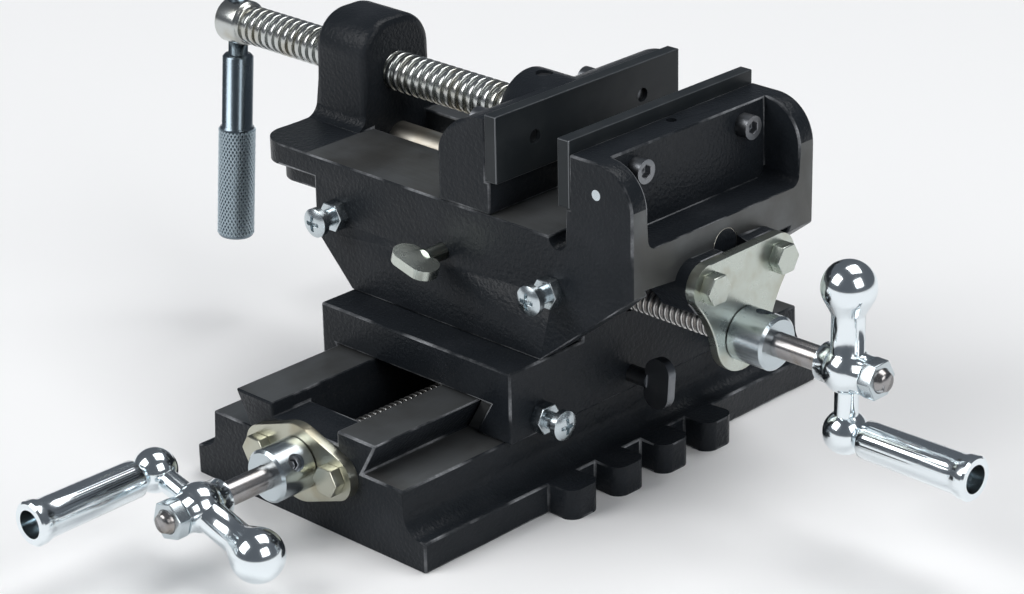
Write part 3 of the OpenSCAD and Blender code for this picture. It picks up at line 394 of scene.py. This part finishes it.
def wind(made, start, along, long, radius, ridge, wide, turns, coat, starts=1, both=False, points=32):
    """Winds ridges round a stretch of a piece, whose own metal is drawn in to leave them proud."""
    upright = along.to_track_quat("Z", "Y").to_matrix().to_4x4()
    for vertex in made.data.vertices:
        far = (vertex.co - start).dot(along)
        out = vertex.co - start - along * far
        if -end_slack < far < long + end_slack and abs(out.length - radius) < core_slack:
            vertex.co -= out.normalized() * (out.length - radius + ridge)
    holder = bpy.data.objects.new("ridges", bpy.data.meshes.new("ridges"))
    scene.collection.objects.link(holder)
    winder = holder.modifiers.new("wind", "NODES")
    winder.node_group = ridge_group
    sockets = [item for item in ridge_group.interface.items_tree if item.in_out == "INPUT"]
    values = (long - 2 * ridge, turns, radius - ridge, ridge, wide, starts, both, points, coat)
    for socket, value in zip(sockets, values):
        winder[socket.identifier] = value
    wound = bpy.data.meshes.new_from_object(holder.evaluated_get(bpy.context.evaluated_depsgraph_get()))
    bpy.data.objects.remove(holder)
    wound.transform(Matrix.Translation(start + along * ridge) @ upright)
    for face in wound.polygons:
        face.material_index = len(made.data.materials)
    made.data.materials.append(coat)
    shape = bmesh.new()
    shape.from_mesh(made.data)
    shape.from_mesh(wound)
    shape.to_mesh(made.data)
    shape.free()
    made.data.shade_smooth()
    made.data.set_sharp_from_angle(angle=ridge_turn)


plain_zinc = plated("bright_zinc", (0.56, 0.62, 0.65, 1), 0.24)
crank_zinc = plated("crank_zinc", (0.84, 0.90, 0.93, 1), 0.14, 0.1)
yellow_zinc = plated("yellow_zinc", (0.50, 0.50, 0.42, 1), 0.3, 0.0, (0.43, 0.40, 0.30, 1))
screw_steel = plated("screw_steel", (0.36, 0.35, 0.35, 1), 0.26, 0.0, (0.28, 0.25, 0.22, 1))
black_steel = plated("black_steel", (0.175, 0.186, 0.201, 1), 0.36, 0.1, (0.245, 0.252, 0.265, 1))
# Paler steel for the lead screws' ridges only: a painted highlight on the thread crests.
highlit_thread_steel = plated("highlit_thread_steel", (0.66, 0.65, 0.63, 1), 0.30)

small_round = 0.3 * mm


def dress_small(node, finish):
    """A small piece of one finish with its edges just broken."""
    made = rounded(node, small_round)
    dress(made, node, finish, finish)
    return made


for node, finish in (("base_bracket", yellow_zinc),
                     ("base_bracket_bolts", yellow_zinc),
                     ("base_collar", plain_zinc),
                     ("base_collar_screw", black_steel),
                     ("base_crank_arm", crank_zinc),
                     ("base_crank_nut", plain_zinc),
                     ("base_grip_pin", plain_zinc),
                     ("base_grip", crank_zinc)):
    dress_small(node, finish)

couplings = frame["record"]["behaviour"]["couplings"]
pitch = {pair["follows"]: math.tau / abs(pair["ratio"]) for pair in couplings}
lead_radius, lead_ridge, lead_wide, lead_plain = 4.5 * mm, 0.75 * mm, 1.0 * mm, 55 * mm
lead_points = 20


def dress_lead_screw(node, slide, along):
    """A lead screw, its thread wound along it up to the plain end that carries the crank; the ridges are
    paler than the core, a painted highlight.
    """
    low, high = (Vector(corner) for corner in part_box(node))
    long = abs((high - low).dot(along))
    start = (low + high - along * long) / 2
    thread = long - lead_plain
    turns = (thread - 2 * lead_ridge) / pitch[slide]
    wind(dress_small(node, screw_steel), start, along, thread, lead_radius, lead_ridge, lead_wide, turns,
         highlit_thread_steel, points=lead_points)


dress_lead_screw("base_lead_screw", "saddle_slide", Vector((0, -1, 0)))


# Saddle. A second black casting slides on the base, with a gib strip, two gib screws with lock
# nuts and a winged lock screw on its right flank. The top of its upper dovetail is planed. The
# bronze nuts of both lead screws are fixed to it.
nut_bronze = plated("nut_bronze", (0.58, 0.42, 0.22, 1), 0.35)
saddle = rounded("saddle_casting", cast_round)
plane_faces(saddle, above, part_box("saddle_casting")[1][2])
dress(saddle, "saddle_casting", black_paint, highlit_worn_edge, planed_x)
for node, finish in (("saddle_gib", planed_y),
                     ("saddle_gib_screws", plain_zinc),
                     ("saddle_gib_nuts", plain_zinc),
                     ("saddle_lock_screw", black_steel),
                     ("base_lead_nut", nut_bronze),
                     ("cross_lead_nut", nut_bronze)):
    dress_small(node, finish)


# Vise body. The third casting carries the bed, the fixed jaw and the clamp screw's boss in one
# piece. The bed and the end face are planed bare; two gib screws and a lock screw stand on its near
# flank. Its feed has a screw, collar, crank and grip like the lower one, and a three-cornered bracket.
pale_zinc = plated("pale_zinc", (0.55, 0.59, 0.54, 1), 0.28, 0.0, (0.47, 0.48, 0.41, 1))
rod_steel = plated("rod_steel", (0.62, 0.59, 0.52, 1), 0.38, 0.0, (0.52, 0.47, 0.39, 1))
body_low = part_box("vise_body_casting")[0]
bed_rise, boss_long, boss_round = 37.9 * mm, 21 * mm, 2.4 * mm
boss_slack, boss_foot, boss_hole = 1 * mm, 6 * mm, 9 * mm
bed, boss_face = body_low[2] + bed_rise, body_low[0] + boss_long
end_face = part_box("guide_rod")[1][0]
clamp_low, clamp_high = (Vector(corner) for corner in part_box("clamp_screw"))
clamp_middle = (clamp_low + clamp_high) / 2


def on_boss(spot):
    """Whether a spot lies on the outline of the boss, clear of the screw's hole and the bed."""
    reach = math.hypot(spot.y - clamp_middle.y, spot.z - clamp_middle.z)
    return spot.x < boss_face + boss_slack and spot.z > bed + boss_foot and reach > boss_hole


body = rounded("vise_body_casting", cast_round, boss_round, on_boss)
shape = bmesh.new()
shape.from_mesh(body.data)
bmesh.ops.bisect_plane(shape, geom=shape.verts[:] + shape.edges[:] + shape.faces[:],
                       plane_co=(boss_face, 0, 0), plane_no=outward)
shape.to_mesh(body.data)
shape.free()
plane_faces(body, above, bed, beyond=boss_face)
plane_faces(body, outward, end_face)
dress(body, "vise_body_casting", black_paint, highlit_worn_edge, planed_x)
for node, finish in (("cheek_pin", plain_zinc),
                     ("body_gib", planed_x),
                     ("body_gib_screws", plain_zinc),
                     ("body_gib_nuts", plain_zinc),
                     ("body_lock_screw", pale_zinc),
                     ("cross_bracket", pale_zinc),
                     ("cross_bracket_bolts", pale_zinc),
                     ("cross_collar", plain_zinc),
                     ("cross_collar_screw", black_steel),
                     ("cross_crank_arm", crank_zinc),
                     ("cross_crank_nut", plain_zinc),
                     ("cross_grip_pin", plain_zinc),
                     ("cross_grip", crank_zinc)):
    dress_small(node, finish)

rod = rounded("guide_rod", small_round)
plane_faces(rod, outward, end_face)
dress(rod, "guide_rod", rod_steel, rod_steel, black_paint)
dress_lead_screw("cross_lead_screw", "body_slide", outward)


# Jaws. Two ground plates of black oxide steel, each held by two socket screws; the moving jaw is
# a black casting that rides on the bed with its tongue in the slot.
oxide_black, oxide_thin = (0.018, 0.022, 0.025, 1), (0.027, 0.031, 0.034, 1)


def oxide_steel(name, along):
    """Ground steel under a thin black oxide, with faint marks along one axis."""
    made, place, surface = new_material(name)
    marks = tool_marks(place, along)
    tint = noise(place, 80, 4).step(0.4, 0.7).mix(oxide_black, oxide_thin)
    feed(surface, Base_Color=tint, Specular_IOR_Level=0.2, Roughness=0.28 + marks * 0.16,
         Normal=bumped(place, marks, 0.2, mark_deep))
    return made


plate_oxide = oxide_steel("plate_oxide", 1)
plate_edge = plated("plate_edge", (0.17, 0.18, 0.19, 1), 0.34)
dress(rounded("moving_jaw", cast_round), "moving_jaw", black_paint, highlit_worn_edge)
for node in ("fixed_jaw_plate", "moving_jaw_plate"):
    dress(rounded(node, small_round), node, plate_oxide, plate_edge)
for node in ("fixed_jaw_screws", "moving_jaw_screws"):
    dress_small(node, black_steel)


# Clamp screw and handle. A coarse square-cut steel screw in the boss, turned by a plated bar that
# hangs from its head; the bar's lower half is diamond knurled. A pin keeps the screw in the jaw.
clamp_steel = plated("clamp_steel", (0.55, 0.57, 0.56, 1), 0.24, 0.0, (0.47, 0.46, 0.41, 1))
handle_zinc = plated("handle_zinc", (0.20, 0.245, 0.28, 1), 0.26)
knurl_zinc = plated("knurl_zinc", (0.40, 0.48, 0.53, 1), 0.30)
clamp_radius, clamp_ridge, clamp_wide, clamp_head = 6.0 * mm, 1.0 * mm, 2.0 * mm, 12 * mm
knurl_radius, knurl_ridge, knurl_wide, knurl_starts = 5.8 * mm, 0.35 * mm, 0.5 * mm, 30
knurl_start, knurl_long, knurl_turns, knurl_points = 34.3 * mm, 34.4 * mm, 0.55, 24
handle_lean, hub_gap = math.radians(5), 0.3 * mm
head_front = Vector((clamp_low.x + clamp_head, clamp_middle.y, clamp_middle.z))
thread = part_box("moving_jaw")[0][0] - hub_gap - head_front.x
turns = (thread - 2 * clamp_ridge) / pitch["jaw_slide"]
wind(dress_small("clamp_screw", clamp_steel), head_front, outward, thread, clamp_radius, clamp_ridge,
     clamp_wide, turns, clamp_steel)

handle_low, handle_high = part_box("clamp_handle")
pivot = Vector(((handle_low[0] + handle_high[0]) / 2, clamp_middle.y, clamp_middle.z))
hang = Vector((0, -math.sin(handle_lean), -math.cos(handle_lean)))
wind(dress_small("clamp_handle", handle_zinc), pivot + hang * knurl_start, hang, knurl_long, knurl_radius,
     knurl_ridge, knurl_wide, knurl_turns, knurl_zinc, knurl_starts, both=True, points=knurl_points)
dress_small("screw_retainer", black_steel)
